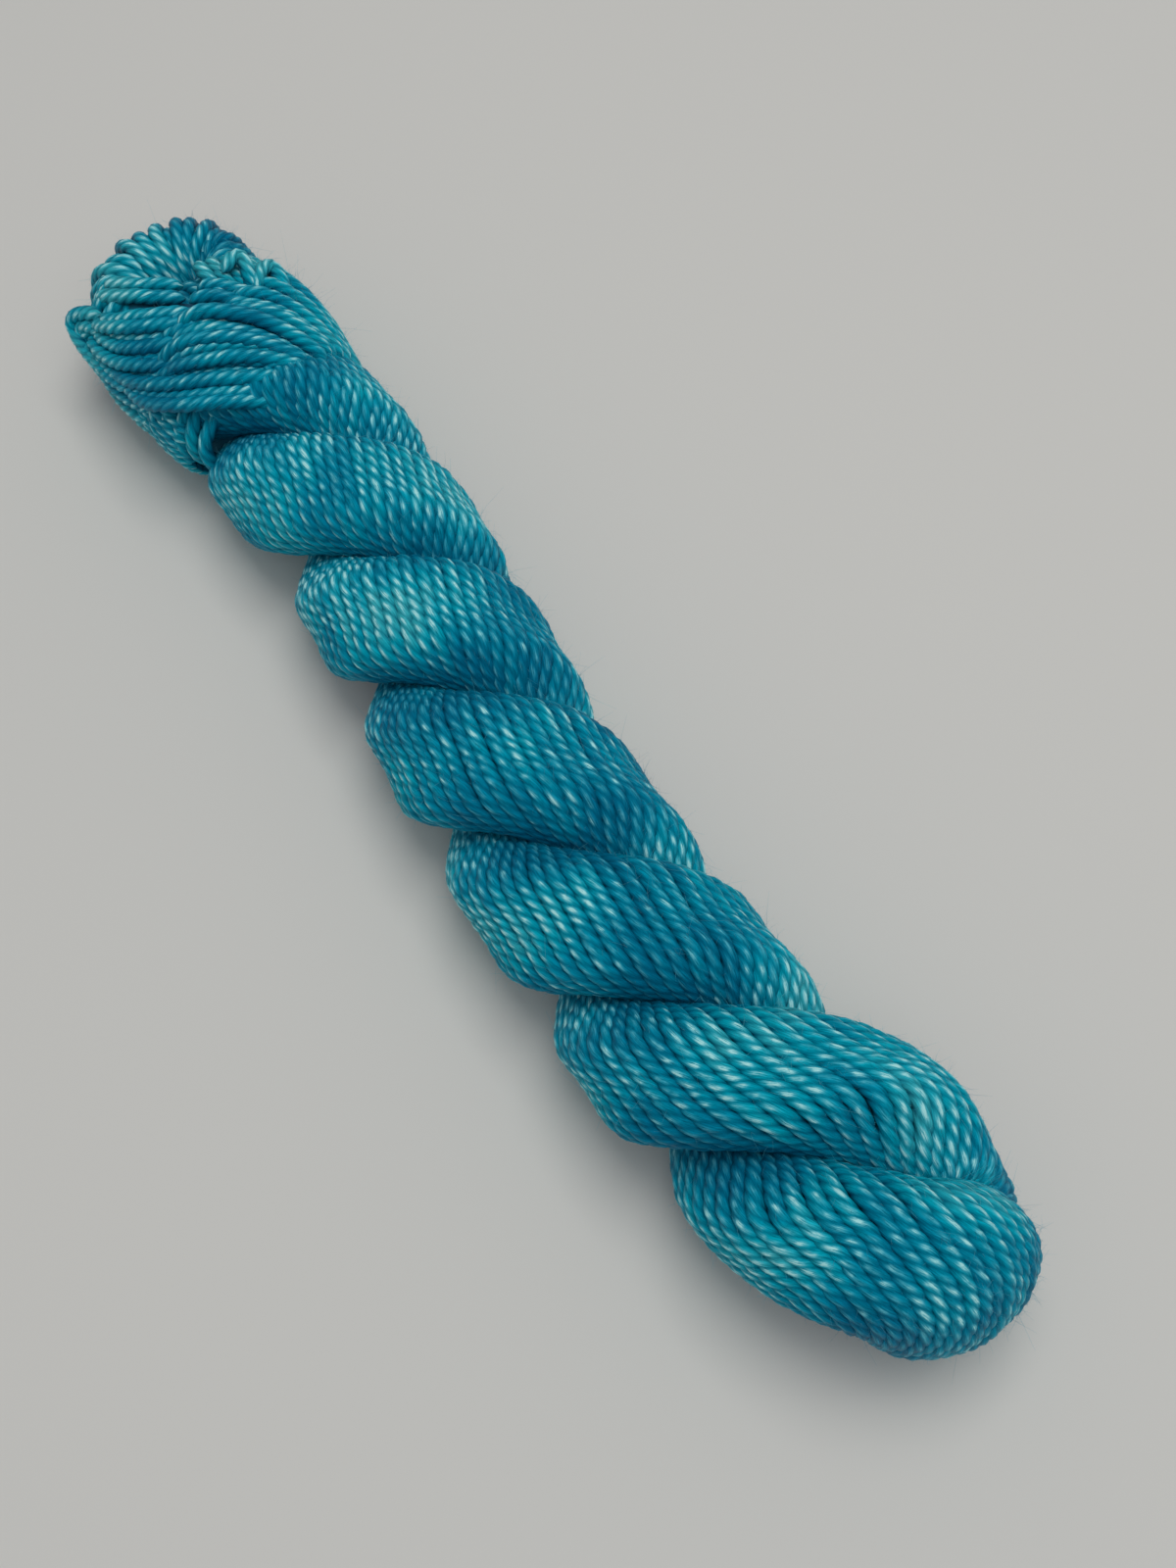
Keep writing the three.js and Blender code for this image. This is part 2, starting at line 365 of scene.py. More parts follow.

# %% [markdown]
# Hundreds of stretches would be slow as single objects, so many are joined into one mesh from arrays.
# Each keeps a UV map of length along and way round, a number of its own, and how each place is turned
# from the way out and how near a crown it lies, for the dye, the painted highlights and the painted shade to
# read.

# %% Join many threads into one mesh
MAP_START_MOST = 1000          # millimetres, and each stretch's map starts somewhere up to this


def join_threads(name, threads):
    """Build one closed mesh from the rings of many threads."""
    corners, quads, uv_rows, seeds, turned = [], [], [], [], []
    used = 0
    for rings, facing in threads:
        count = len(rings)
        ring = np.arange(count - 1)[:, None] * SIDES
        here, after = np.arange(SIDES), (np.arange(SIDES) + 1) % SIDES
        quads.append(np.stack([ring + here, ring + after, ring + SIDES + after, ring + SIDES + here],
                              -1).reshape(-1, 4) + used)
        length = np.arange(count) * EVEN_STEP + random.uniform(0, MAP_START_MOST)
        low_u, high_u = length[:-1, None], length[1:, None]
        low_v, high_v = around[None, :], around[None, :] + 1 / SIDES
        uv = np.stack(np.broadcast_arrays(low_u, low_v, low_u, high_v, high_u, high_v, high_u, low_v), -1)
        uv_rows.append(uv.reshape(-1, 2))
        corners.append(rings.reshape(-1, 3))
        turned.append(facing.reshape(-1, 3))
        seeds.append(np.full(count * SIDES, random.random(), dtype=np.float32))
        used += count * SIDES
    mesh = bpy.data.meshes.new(name)
    points = np.concatenate(corners) * MM
    faces = np.concatenate(quads)
    mesh.from_pydata(points, [], faces)
    uv_map = mesh.uv_layers.new(name="along_and_round")
    uv_map.uv.foreach_set("vector", np.concatenate(uv_rows).astype(np.float32).ravel())
    mesh.attributes.new("thread_number", "FLOAT", "POINT").data.foreach_set("value", np.concatenate(seeds))
    facing_out = mesh.attributes.new("facing_out", "FLOAT_VECTOR", "POINT")
    facing_out.data.foreach_set("vector", np.concatenate(turned).astype(np.float32).ravel())
    shape = bmesh.new()
    shape.from_mesh(mesh)
    open_edges = [edge for edge in shape.edges if edge.is_boundary]
    bmesh.ops.holes_fill(shape, edges=open_edges, sides=SIDES)
    for face in shape.faces:
        face.smooth = True
    shape.to_mesh(mesh)
    shape.free()
    piece = bpy.data.objects.new(name, mesh)
    bpy.context.scene.collection.objects.link(piece)
    triangles = 2 * len(faces) + 2 * len(threads) * (SIDES - 2)
    print(name, "has", len(threads), "stretches and about", triangles, "triangles")
    return piece


# %% [markdown]
# The 29 threads are shared out over four pieces, so that none has too many triangles to export whole.
# No two threads are quite as thick as each other, because a spun thread never is.

# %% Wind the legs and the fold
WINDINGS = 4
THICK_LEAST, THICK_MOST = 0.96, 1.05    # as shares of the usual thickness
all_rings = []


def spin_thread(route):
    """Twist the plies along a route, and keep the rings for the loose fibres too."""
    thick = THREAD_THICK * random.uniform(THICK_LEAST, THICK_MOST)
    rings, facing = plied_rings(route, thick, random.uniform(0, 2 * np.pi))
    all_rings.append(rings)
    return rings, facing


wound = []
for winding in range(WINDINGS):
    threads = []
    for number in range(winding, THREADS_ROUND_LEG, WINDINGS):
        threads += [spin_thread(run) for run in stretches(*lay_thread(number))]
    wound.append(join_threads(f"wound_threads_{winding + 1}", threads))

# %% [markdown]
# At the head one end of the skein is tucked through the other. Its collar is a fan of threads that
# comes up on the left, crosses the top like shingles and gathers at the right shoulder. Each thread is
# a row with three places, given as degrees round the head, x, and lift over its surface. A parabola
# through the three makes the route, and a lift below zero tucks an end under its neighbours. Lower
# threads fill the gaps between about half of the rows. The strap's own threads run nearly in line with
# the skein, and they show low on each side of the head.

# %% Lay the collar and the shoulder
HEAD_Y, HEAD_Z = -0.4, 9.6
HEAD_HALF_WIDTH, HEAD_HALF_HEIGHT = 12.3, 10.2
HEAD_PLACES = 60
# the collar is as pale as a leg's crown, and the shoulder paler: degrees, and crown
SHOULDER, SHOULDER_CROWN = (95, 140), (1.0, 2.0)
HEAD_WANDER = 0.14             # millimetres along the skein
HEAD_WAVE = 14.0               # its wave length, over a walk of HEAD_WALK
HEAD_WALK = HEAD_PLACES / 3
# columns: degrees, x and lift at the start, then in the middle, then at the end
COLLAR = np.array([
    (200, -61.0, -0.8, 198, -53.0, -0.4, 192, -45.0, -1.2),
    (188, -63.0, -0.8, 186, -54.0, -0.2, 180, -45.0, -1.2),
    (175, -64.0, -0.8, 174, -55.0, 0.0, 169, -45.0, -1.2),
    (150, -64.0, -1.0, 163, -56.0, 0.2, 160, -45.5, -1.0),
    (138, -63.0, -1.0, 151, -56.5, 0.5, 154, -46.5, -0.8),
    (122, -60.0, -0.8, 140, -55.0, 0.6, 152, -46.0, -0.8),
    (104, -58.0, -0.6, 124, -54.8, 0.8, 147, -46.5, -0.6),
    (98, -57.5, -0.6, 120, -53.5, 0.3, 142, -46.5, -0.8),
    (96, -56.5, -0.5, 117, -52.6, 0.6, 138, -46.5, -0.8),
    (70, -58.2, -0.8, 95, -55.0, 1.3, 128, -45.2, -0.2),
    (48, -56.5, -1.0, 77, -54.0, 0.9, 118, -45.8, -0.6),
    (50, -56.0, -1.0, 80, -52.6, 0.2, 116, -46.0, -1.0),
    (46, -55.5, -1.0, 78, -50.6, 0.8, 122, -44.2, -1.6),
    (40, -56.0, -0.8, 72, -51.5, 0.1, 118, -44.6, -1.0),
    (12, -65.0, -0.6, 54, -51.8, 0.6, 120, -43.4, -1.9),
    (14, -62.5, -0.4, 50, -50.6, 0.0, 102, -44.0, -2.2),
    (18, -60.0, -0.4, 46, -50.0, 0.7, 90, -43.8, -2.6),
    (34, -68.0, -0.8, 56, -63.0, 0.1, 82, -59.0, -0.8),
    (27, -69.0, -0.8, 50, -62.6, 0.6, 76, -57.8, -0.6),
    (22, -68.0, -0.8, 42, -61.0, 0.1, 66, -57.0, -0.8),
    (14, -69.0, -0.6, 32, -60.6, 0.4, 58, -55.0, -0.8),
    (10, -68.0, -0.6, 24, -59.6, 0.1, 48, -54.5, -1.0),
    (6, -70.0, -0.4, 15, -61.5, 0.3, 34, -54.5, -1.0),
    (-2, -70.5, -0.6, 5, -62.0, 0.1, 20, -54.5, -1.2),
    (-12, -70.0, -0.8, -6, -61.5, 0.0, 6, -55.0, -1.4),
    (-24, -69.0, -1.0, -18, -61.0, -0.2, -8, -55.0, -1.4),
    (-38, -68.0, -1.2, -32, -60.0, -0.4, -22, -55.0, -1.6),
    (36, -68.5, -0.8, 10, -72.4, 0.1, 8, -64.0, 0.3),
    (28, -67.0, -0.8, 10, -71.0, -0.5, 2, -64.0, -0.4),
    (16, -69.0, -0.8, 0, -71.6, -0.4, -6, -65.0, -0.4),
    (40, -71.0, -1.4, 60, -66.3, -0.8, 84, -61.5, -1.2),
    (48, -71.5, -1.8, 66, -67.6, -1.5, 88, -63.6, -1.6),
    (58, -58.6, -0.8, 86, -55.8, -0.2, 120, -47.0, -1.0),
    (62, -59.6, -0.8, 91, -56.8, -0.4, 124, -47.6, -1.0),
    (84, -60.5, -0.8, 104, -57.6, -0.3, 132, -48.6, -1.0),
    (92, -61.5, -1.2, 112, -59.0, -0.5, 140, -50.0, -1.0),
    (38, -55.0, -1.6, 14, -54.6, -1.0, -16, -53.6, -1.6),
    (43, -52.8, -1.8, 18, -52.4, -1.4, -14, -51.4, -2.2),
    (48, -50.8, -2.0, 22, -50.4, -1.8, -12, -49.2, -2.6),
    (64, -50.4, -3.4, 26, -48.5, -2.0, -10, -47.2, -5.2),
    (68, -49.0, -4.2, 30, -46.6, -2.4, -6, -45.2, -5.6),
    (109, -61.6, 0.0, 121, -62.6, 1.0, 119, -58.4, -0.4),
    (119, -57.9, -0.4, 135, -60.8, 1.0, 137, -56.0, -0.2),
])


def place_on_head(x, degrees, lift):
    """Give the place at some degrees round the head, from its left side over the top."""
    angle = np.radians(degrees)
    y = HEAD_Y - (HEAD_HALF_WIDTH + lift) * np.cos(angle)
    z = HEAD_Z + (HEAD_HALF_HEIGHT + lift) * np.sin(angle)
    return np.stack([x, y, z], -1) - MIDDLE


def lay_collar_thread(row):
    """Route one thread through the three places of its row."""
    walk = np.linspace(0, 1, HEAD_PLACES)
    shares = ((1 - walk) * (1 - 2 * walk), 4 * walk * (1 - walk), walk * (2 * walk - 1))
    degrees, x, lift = sum(share[:, None] * place for share, place in zip(shares, row.reshape(3, 3))).T
    x = x + soft_wave(walk * HEAD_WALK, HEAD_WAVE, HEAD_WANDER)
    crown = np.interp(degrees, SHOULDER, SHOULDER_CROWN)
    route = add_way_out(place_on_head(x, degrees, lift), place_on_head(x, degrees, lift - 1.0), crown)
    return even_steps(rest_on_surface(route))


UNDER_FROM, UNDER_TO = 2, 24   # the collar's rows that have a lower thread between them
UNDER_LIFT = -0.85
top_rows = COLLAR[UNDER_FROM:UNDER_TO]
lower_rows = (top_rows[:-1] + top_rows[1:]) / 2 + np.tile((0, 0, UNDER_LIFT), 3)
STRAP_ARCS = ((-77, 36), (104, 255))    # degrees round the head where the strap's own threads may show
STRAP_APART = 8.5              # degrees from one of them to the next
# the same columns, with the degrees counted from where the thread starts
STRAP_PATH = np.array((0, -66.0, -1.6, -3, -57.0, -0.95, -7, -49.0, -2.0))
DEGREES_ONLY = np.tile((1.0, 0.0, 0.0), 3)
strap_starts = np.concatenate([np.arange(low, high, STRAP_APART) for low, high in STRAP_ARCS])
strap_rows = [STRAP_PATH + start * DEGREES_ONLY for start in strap_starts]
collar_routes = [lay_collar_thread(row) for row in (*COLLAR, *lower_rows, *strap_rows)]
collar = join_threads("collar_threads", [spin_thread(route) for route in collar_routes])

# %% [markdown]
# Behind the collar the tucked end fans out round a slit. Its threads come up out of the slit, go over
# the rim and run down to the surface. They lie apart at the rim, where a second, lower layer shows
# between them, so the same function lays both.

# %% Fan the threads of the tucked end
ROSETTE = np.array([-68.2, -0.6, 8.4])
SPINE = np.array([5.3, 7.0])               # half length and half width of the rim's middle line
TUBE = np.array([5.3, 4.2])                # how far the rim reaches each side of that line
TUBE_HEIGHT = 8.2
FAN_THREADS = 26
FAN_FROM, FAN_TO = 182, -84                # degrees over the rim, from the slit to the underside
FAN_CROWN = -0.4                           # the fan is deeper than the legs
FAN_LIFT = -0.8                            # millimetres over the rim's surface
FAN_LOWER = -1.7                           # the same in the lower layer
FAN_STARTS = (-24, 6)                      # least and most degrees added to where a thread starts
FAN_LIFTS = (-0.3, 0.45)                   # least and most added to a thread's lift
RIM_WALK = 5                               # turns radians over the rim into about millimetres
FAN_LIFT_WAVE, FAN_WAY_WAVE = (9.0, 0.12), (14.0, 0.05)    # wave length and size
FAN_UNEVEN = 0.32                          # how unevenly the threads lie, as a share of their spacing
FAN_LOWER_UNEVEN = 0.1                     # the same in the lower layer, which closes the gaps


def place_on_rim(over, way, lift):
    """Give the place at some way round the slit, and some way over the rim."""
    x = (SPINE[0] + (TUBE[0] + lift) * np.cos(over)) * np.cos(way)
    y = (SPINE[1] + (TUBE[1] + lift) * np.cos(over)) * np.sin(way)
    z = (TUBE_HEIGHT + lift) * np.sin(over)
    return np.stack([x, y, z], -1) + ROSETTE - MIDDLE


def lay_fan_thread(number, lift, uneven):
    """Route one thread out of the slit, over the rim and down."""
    way = 2 * np.pi * (number + random.uniform(-uneven, uneven)) / FAN_THREADS
    over = np.radians(np.linspace(FAN_FROM + random.uniform(*FAN_STARTS), FAN_TO, HEAD_PLACES))
    lift = lift + random.uniform(*FAN_LIFTS) + soft_wave(over * RIM_WALK, *FAN_LIFT_WAVE)
    way = way + soft_wave(over * RIM_WALK, *FAN_WAY_WAVE)
    route = add_way_out(place_on_rim(over, way, lift), place_on_rim(over, way, lift - 1.0), FAN_CROWN)
    return even_steps(rest_on_surface(route))


fan = [lay_fan_thread(number, FAN_LIFT, FAN_UNEVEN) for number in range(FAN_THREADS)]
fan += [lay_fan_thread(number + 0.5, FAN_LOWER, FAN_LOWER_UNEVEN) for number in range(FAN_THREADS)]
tucked = join_threads("tucked_threads", [spin_thread(route) for route in fan])
wound += [collar, tucked]

# %% [markdown]
# Under the outer threads lie more of the same. They show only as a deep colour in the gaps, so a copy
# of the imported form, drawn in by about half a thread, stands for them. Its doubles are merged first,
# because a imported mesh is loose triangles.

# %% Draw in the inner winding
DRAWN_IN = 0.95                # millimetres
MERGE_NEARER = 0.02            # millimetres
inner_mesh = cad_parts["skein"].data.copy()
inner_mesh.name = "inner_winding"
inner_mesh.materials.clear()
shape = bmesh.new()
shape.from_mesh(inner_mesh)
bmesh.ops.remove_doubles(shape, verts=shape.verts, dist=MERGE_NEARER * MM)
shape.normal_update()
inward = [(corner, corner.normal * DRAWN_IN * MM) for corner in shape.verts]
for corner, move in inward:
    corner.co -= move
bmesh.ops.smooth_vert(shape, verts=shape.verts, factor=0.5, use_axis_x=True, use_axis_y=True, use_axis_z=True)
for face in shape.faces:
    face.smooth = True
shape.to_mesh(inner_mesh)
shape.free()
inner_winding = bpy.data.objects.new("inner_winding", inner_mesh)
bpy.context.scene.collection.objects.link(inner_winding)
print("inner winding has", len(inner_mesh.polygons), "faces")

# %% [markdown]
# Spun fibre never lies quite flat, and the light catches a faint halo of loose ends. Each loose fibre
# starts on a thread, leans out and along it, and bends as it goes. A fibre is a three-sided prism of
# two short steps, so thousands of them cost little, and they are made together from arrays.

# %% Scatter loose fibres
FIBRES = 12000
FIBRE_RINGS = 3
FIBRE_SIDES = 3
FIBRE_THICK = 0.03             # millimetres at the root
FIBRE_THINNER = 0.7            # the share of that which is gone at the tip
FIBRE_LONG, FIBRE_SPREAD, FIBRE_LONGEST = 0.65, 0.45, 2.0
FIBRE_LEAN = (0.25, 0.9)       # least and most of the way out, against one of the way along
FIBRE_STRAY = 0.3              # how far a fibre's start strays from both
FIBRE_CURL = 0.8
FIBRE_BOW = (-0.5, 0.5)        # least and most of the way out in its bend
SKEIN_MIDDLE_Z = 10.0
OUTWARD_LEAST = 0.35           # how squarely a fibre's root has to face away from the skein's middle
WOOLLY_SIDE = 2.2              # how much fuller the halo is on the +Y side


def pick_roots():
    """Choose places on the threads that face outwards, with the way out and the way along."""
    middles = np.concatenate([rings[1:-1].mean(axis=1).repeat(SIDES, axis=0) for rings in all_rings])
    ahead = [(rings[2:] - rings[:-2]).mean(axis=1) for rings in all_rings]
    along = np.concatenate([way.repeat(SIDES, axis=0) for way in ahead])
    places = np.concatenate([rings[1:-1].reshape(-1, 3) for rings in all_rings])
    outward = places - middles
    outward /= np.linalg.norm(outward, axis=1)[:, None]
    away = places * (0.0, 1.0, 1.0)
    away[:, 1] -= smooth(ROPE, AXIS_Y, np.clip(places[:, 0], ROPE[0, 0], ROPE[-1, 0])) - MIDDLE[1]
    away[:, 2] -= SKEIN_MIDDLE_Z
    away[:, 0] = np.clip(places[:, 0] - FOLD_X, 0, None) + np.clip(places[:, 0] + FOLD_X, None, 0)
    away /= np.linalg.norm(away, axis=1)[:, None]
    facing = (outward * away).sum(axis=1)
    chance = np.clip(facing - OUTWARD_LEAST, 0, None) * np.where(away[:, 1] > 0, WOOLLY_SIDE, 1.0)
    chosen = random.choice(len(places), FIBRES, p=chance / chance.sum())
    return places[chosen], outward[chosen], along[chosen] / np.linalg.norm(along[chosen], axis=1)[:, None]


def grow_fibres():
    """Give the rings of all the fibres, as an array of fibre, ring, side, and x, y and z."""
    root, out, along = pick_roots()
    count = len(root)
    long = np.minimum(FIBRE_LONG * np.exp(random.normal(0, FIBRE_SPREAD, count)), FIBRE_LONGEST)
    stray = random.normal(0, 1, (count, 3))
    lean = out * random.uniform(*FIBRE_LEAN, (count, 1))
    start_way = lean + along * random.choice((-1, 1), (count, 1)) + FIBRE_STRAY * stray
    start_way /= np.linalg.norm(start_way, axis=1)[:, None]
    bend = random.normal(0, FIBRE_CURL, (count, 3)) + out * random.uniform(*FIBRE_BOW, (count, 1))
    walk = np.linspace(0, 1, FIBRE_RINGS)[None, :, None]
    spine = root[:, None] + long[:, None, None] * (start_way[:, None] * walk + bend[:, None] * walk ** 2)
    spine[..., 2] = np.maximum(spine[..., 2], FIBRE_THICK)
    side = np.cross(start_way, stray)
    side /= np.linalg.norm(side, axis=1)[:, None]
    other = np.cross(start_way, side)
    angle = 2 * np.pi * np.arange(FIBRE_SIDES) / FIBRE_SIDES
    ring = side[:, None] * np.cos(angle)[:, None] + other[:, None] * np.sin(angle)[:, None]
    thin = FIBRE_THICK / 2 * (1 - FIBRE_THINNER * walk[..., None])
    return spine[:, :, None] + thin * ring[:, None]


def join_fibres(name):
    """Build one mesh from the rings of all the fibres, with a face at each end."""
    rings = grow_fibres()
    first = np.arange(FIBRES)[:, None, None] * FIBRE_RINGS * FIBRE_SIDES
    ring = first + np.arange(FIBRE_RINGS - 1)[None, :, None] * FIBRE_SIDES
    here, after = np.arange(FIBRE_SIDES), (np.arange(FIBRE_SIDES) + 1) % FIBRE_SIDES
    walls = np.stack([ring + here, ring + after, ring + FIBRE_SIDES + after, ring + FIBRE_SIDES + here], -1)
    roots = (first[:, 0] + here[::-1]).tolist()
    tips = (first[:, 0] + (FIBRE_RINGS - 1) * FIBRE_SIDES + here).tolist()
    mesh = bpy.data.meshes.new(name)
    mesh.from_pydata(rings.reshape(-1, 3) * MM, [], walls.reshape(-1, 4).tolist() + roots + tips)
    mesh.shade_smooth()
    piece = bpy.data.objects.new(name, mesh)
    bpy.context.scene.collection.objects.link(piece)
    print(name, "has", FIBRES, "fibres and", 2 * walls[..., 0].size + 2 * FIBRES, "triangles")
    return piece


loose_fibres = join_fibres("loose_fibres")

# %% [markdown]
# The dye was taken up unevenly, so the colour drifts from deep teal to grey aqua over a finger's
# width, and again along each thread. Three materials need that drift, so it is a node group with its
# own inputs and outputs. Helpers add its nodes to whichever tree is being wired.

# %% Write helpers for nodes
def feed(tree, socket, value):
    """Give a socket a number, a colour or a link."""
    if isinstance(value, tuple):
        socket.default_value = (*value, 1.0)
    elif isinstance(value, (int, float)):
        socket.default_value = value
    else:
        tree.links.new(value, socket)


def maths(tree, operation, *values):
    """Add a Math node, whose inputs are sockets or numbers."""
    node = tree.nodes.new("ShaderNodeMath")
    node.operation = operation
    for socket, value in zip(node.inputs, values):
        feed(tree, socket, value)
    return node.outputs[0]


def join_xyz(tree, *values):
    """Add a node that makes a place from three sockets or numbers."""
    node = tree.nodes.new("ShaderNodeCombineXYZ")
    for socket, value in zip(node.inputs, values):
        feed(tree, socket, value)
    return node.outputs[0]


def noise(tree, place, scale, detail, rough=0.5):
    """Add a noise texture that reads a place."""
    node = tree.nodes.new("ShaderNodeTexNoise")
    tree.links.new(place, node.inputs["Vector"])
    node.inputs["Scale"].default_value = scale
    node.inputs["Detail"].default_value = detail
    node.inputs["Roughness"].default_value = rough
    return node.outputs["Fac"]


def ramp(tree, value, stops):
    """Add a colour ramp from a list of place and colour."""
    node = tree.nodes.new("ShaderNodeValToRGB")
    tree.links.new(value, node.inputs[0])
    while len(node.color_ramp.elements) < len(stops):
        node.color_ramp.elements.new(0.5)
    for element, (place, colour) in zip(node.color_ramp.elements, stops):
        element.position = place
        element.color = (*colour, 1.0)
    return node.outputs["Color"]


def mix(tree, factor, first, second, blend="MIX"):
    """Add a colour mix node."""
    node = tree.nodes.new("ShaderNodeMix")
    node.data_type = "RGBA"
    node.blend_type = blend
    for socket, value in zip((node.inputs[0], node.inputs[6], node.inputs[7]), (factor, first, second)):
        feed(tree, socket, value)
    return node.outputs[2]


def make_material(name):
    """Start a material with nodes, and give back its tree and its shader."""
    material = bpy.data.materials.new(name)
    material.use_nodes = True
    return material, material.node_tree, material.node_tree.nodes["Principled BSDF"]


# %% Build the dye group
DEEP_DYE, MID_DYE = (0.0, 0.175, 0.32), (0.0, 0.31, 0.47)
LIGHT_DYE, GREY_DYE = (0.0, 0.45, 0.59), (0.05, 0.53, 0.60)
DRIFT_SCALE = 75.0             # over the skein, in noise cells for each metre
THREAD_DRIFT = 0.13            # along a thread, in noise cells for each millimetre
DRIFT_SHARE = 0.65             # the skein's share of the drift, against the thread's own


def build_dye_group():
    """Make the node group that turns a place and a thread's own drift into a dye colour."""
    group = bpy.data.node_groups.new("hand_dye", "ShaderNodeTree")
    group.interface.new_socket("Own drift", in_out="INPUT", socket_type="NodeSocketFloat")
    group.interface.new_socket("Dye", in_out="OUTPUT", socket_type="NodeSocketColor")
    group.interface.new_socket("Tone", in_out="OUTPUT", socket_type="NodeSocketFloat")
    start, end = group.nodes.new("NodeGroupInput"), group.nodes.new("NodeGroupOutput")
    place = group.nodes.new("ShaderNodeTexCoord").outputs["Object"]
    over_skein = noise(group, place, DRIFT_SCALE, 1.5)
    own = maths(group, "MULTIPLY", start.outputs["Own drift"], 1 - DRIFT_SHARE)
    tone = maths(group, "MULTIPLY_ADD", over_skein, DRIFT_SHARE, own)
    colour = ramp(group, tone, [(0.36, DEEP_DYE), (0.48, MID_DYE), (0.57, LIGHT_DYE), (0.68, GREY_DYE)])
    group.links.new(colour, end.inputs["Dye"])
    group.links.new(tone, end.inputs["Tone"])
    return group


def place_dye(tree, own_drift):
    """Put the dye group in a material."""
    node = tree.nodes.new("ShaderNodeGroup")
    node.node_tree = dye_group
    feed(tree, node.inputs["Own drift"], own_drift)
    return node.outputs["Dye"], node.outputs["Tone"]


dye_group = build_dye_group()
print("dye group", [item.name for item in dye_group.interface.items_tree])

# %% [markdown]
# On a plied thread the eye sees three things: the drift of the dye, a pale dash where each ply faces
# out of the skein, and the fine fibres that run along the ply. Each dash is painted highlight with some
# paler fibre in it, and the valleys and sides get painted shade. The UV map says how far along and round
# the thread a point lies, and `facing_out` says how it is turned from the way out. So the dashes and
# the fibres follow the twist, and nothing depends on where the camera stands.

# %% Name the thread's colours and sizes
# the valley colour with the valley and side shares paints shade; the glow and dash colours paint highlight,
# with some paler fibre
VALLEY_SHADE_COLOUR, GLOW_HIGHLIGHT_COLOUR, DASH_HIGHLIGHT_COLOUR = (0.0, 0.09, 0.17), (0.0, 0.50, 0.64), (0.46, 0.88, 0.90)
VALLEY_SHADE_SHARE, SIDE_SHADE_SHARE, DASH_HIGHLIGHT_SHARE = 0.5, 0.5, 0.90
PALE_POWER = 1.9               # how late a dash turns from bright teal to pale
DASH_SLANT = math.radians(27)  # between a dash and its thread
DASH_HALF_LONG, DASH_HALF_WIDE = 0.72, 0.23    # millimetres
CROWN_LIGHT_SHARE, CROWN_USUAL = 0.20, 0.3    # painted light: how much paler a leg's crown is made, and the crown that changes nothing
DASH_JITTER = 1.4              # millimetres along, from the noise's lowest value to its highest
STREAKS_ROUND, STREAKS_ALONG = 46.0, 0.9    # noise cells round the thread, and for each millimetre along
STREAKS_DETAIL, STREAKS_ROUGH = 3.0, 0.68
DASHES_ALONG = 0.5             # noise cells for each millimetre along, for a dash's strength and place
DASHES_DETAIL, DASHES_ROUGH = 1.5, 0.6
FIBRE_SLANT = 0.075            # how far round a fibre drifts off its ply for each millimetre along
OWN_NUMBERS = 97.0             # spreads the threads' own numbers, so that no two share a pattern
PLY_NUMBERS = 7.3              # the same for the plies of a thread
LIT_TONE, LIT_GAIN, LIT_START, LIT_LEAST = 1.6, 3.4, -3.85, 0.25    # how the dye's tone sets the strength of each dash's painted highlight
FIBROUS_GAIN, FIBROUS_START = 6.0, -1.75    # how sharply the fine fibres break up a dash
STREAK_STOPS = [(0.3, (0.5, 0.5, 0.5)), (0.7, (1.4, 1.4, 1.4))]
print("a dash is", 2 * DASH_HALF_LONG, "by", 2 * DASH_HALF_WIDE, "mm")

# %% Read where a point lies on its thread
dyed, tree, shader = make_material("dyed_thread")
coords = tree.nodes.new("ShaderNodeUVMap")
coords.uv_map = "along_and_round"
number = tree.nodes.new("ShaderNodeAttribute")
number.attribute_name = "thread_number"
split = tree.nodes.new("ShaderNodeSeparateXYZ")
tree.links.new(coords.outputs["UV"], split.inputs["Vector"])
length, way_round = split.outputs["X"], split.outputs["Y"]
own = maths(tree, "MULTIPLY", number.outputs["Fac"], OWN_NUMBERS)

facing_out = tree.nodes.new("ShaderNodeAttribute")
facing_out.attribute_name = "facing_out"
turned = tree.nodes.new("ShaderNodeSeparateXYZ")
tree.links.new(facing_out.outputs["Vector"], turned.inputs["Vector"])
facing, sideways, crown = turned.outputs["X"], turned.outputs["Y"], turned.outputs["Z"]
print("dyed_thread reads", coords.uv_map, number.attribute_name, facing_out.attribute_name)

# %% Add the drift, the plies and the fine fibres
drift = noise(tree, join_xyz(tree, maths(tree, "MULTIPLY", length, THREAD_DRIFT), own, 0.0), 1.0, 2.0)
# painted light and shade: a leg's outer crown is made paler and its side toward the crease between the legs
# deeper; the head's threads get a set tone
painted_crown_light = maths(tree, "MULTIPLY_ADD", crown, CROWN_LIGHT_SHARE, -CROWN_USUAL * CROWN_LIGHT_SHARE)
dye, tone = place_dye(tree, maths(tree, "ADD", drift, painted_crown_light))
crest = maths(tree, "ABSOLUTE", maths(tree, "SINE", maths(tree, "MULTIPLY", way_round, math.pi * PLIES)))
plies_round = maths(tree, "MULTIPLY", way_round, float(PLIES))
ply = maths(tree, "MULTIPLY_ADD", maths(tree, "FLOOR", plies_round), PLY_NUMBERS, own)
fibre = maths(tree, "MULTIPLY", maths(tree, "MULTIPLY_ADD", length, -FIBRE_SLANT, way_round), STREAKS_ROUND)
streaks_at = join_xyz(tree, maths(tree, "MULTIPLY", length, STREAKS_ALONG), fibre, own)
streaks = noise(tree, streaks_at, 1.0, STREAKS_DETAIL, STREAKS_ROUGH)
dashes_at = join_xyz(tree, maths(tree, "MULTIPLY", length, DASHES_ALONG), ply, own)
dashes = noise(tree, dashes_at, 1.0, DASHES_DETAIL, DASHES_ROUGH)
print("dyed_thread has", len(tree.nodes), "nodes so far")

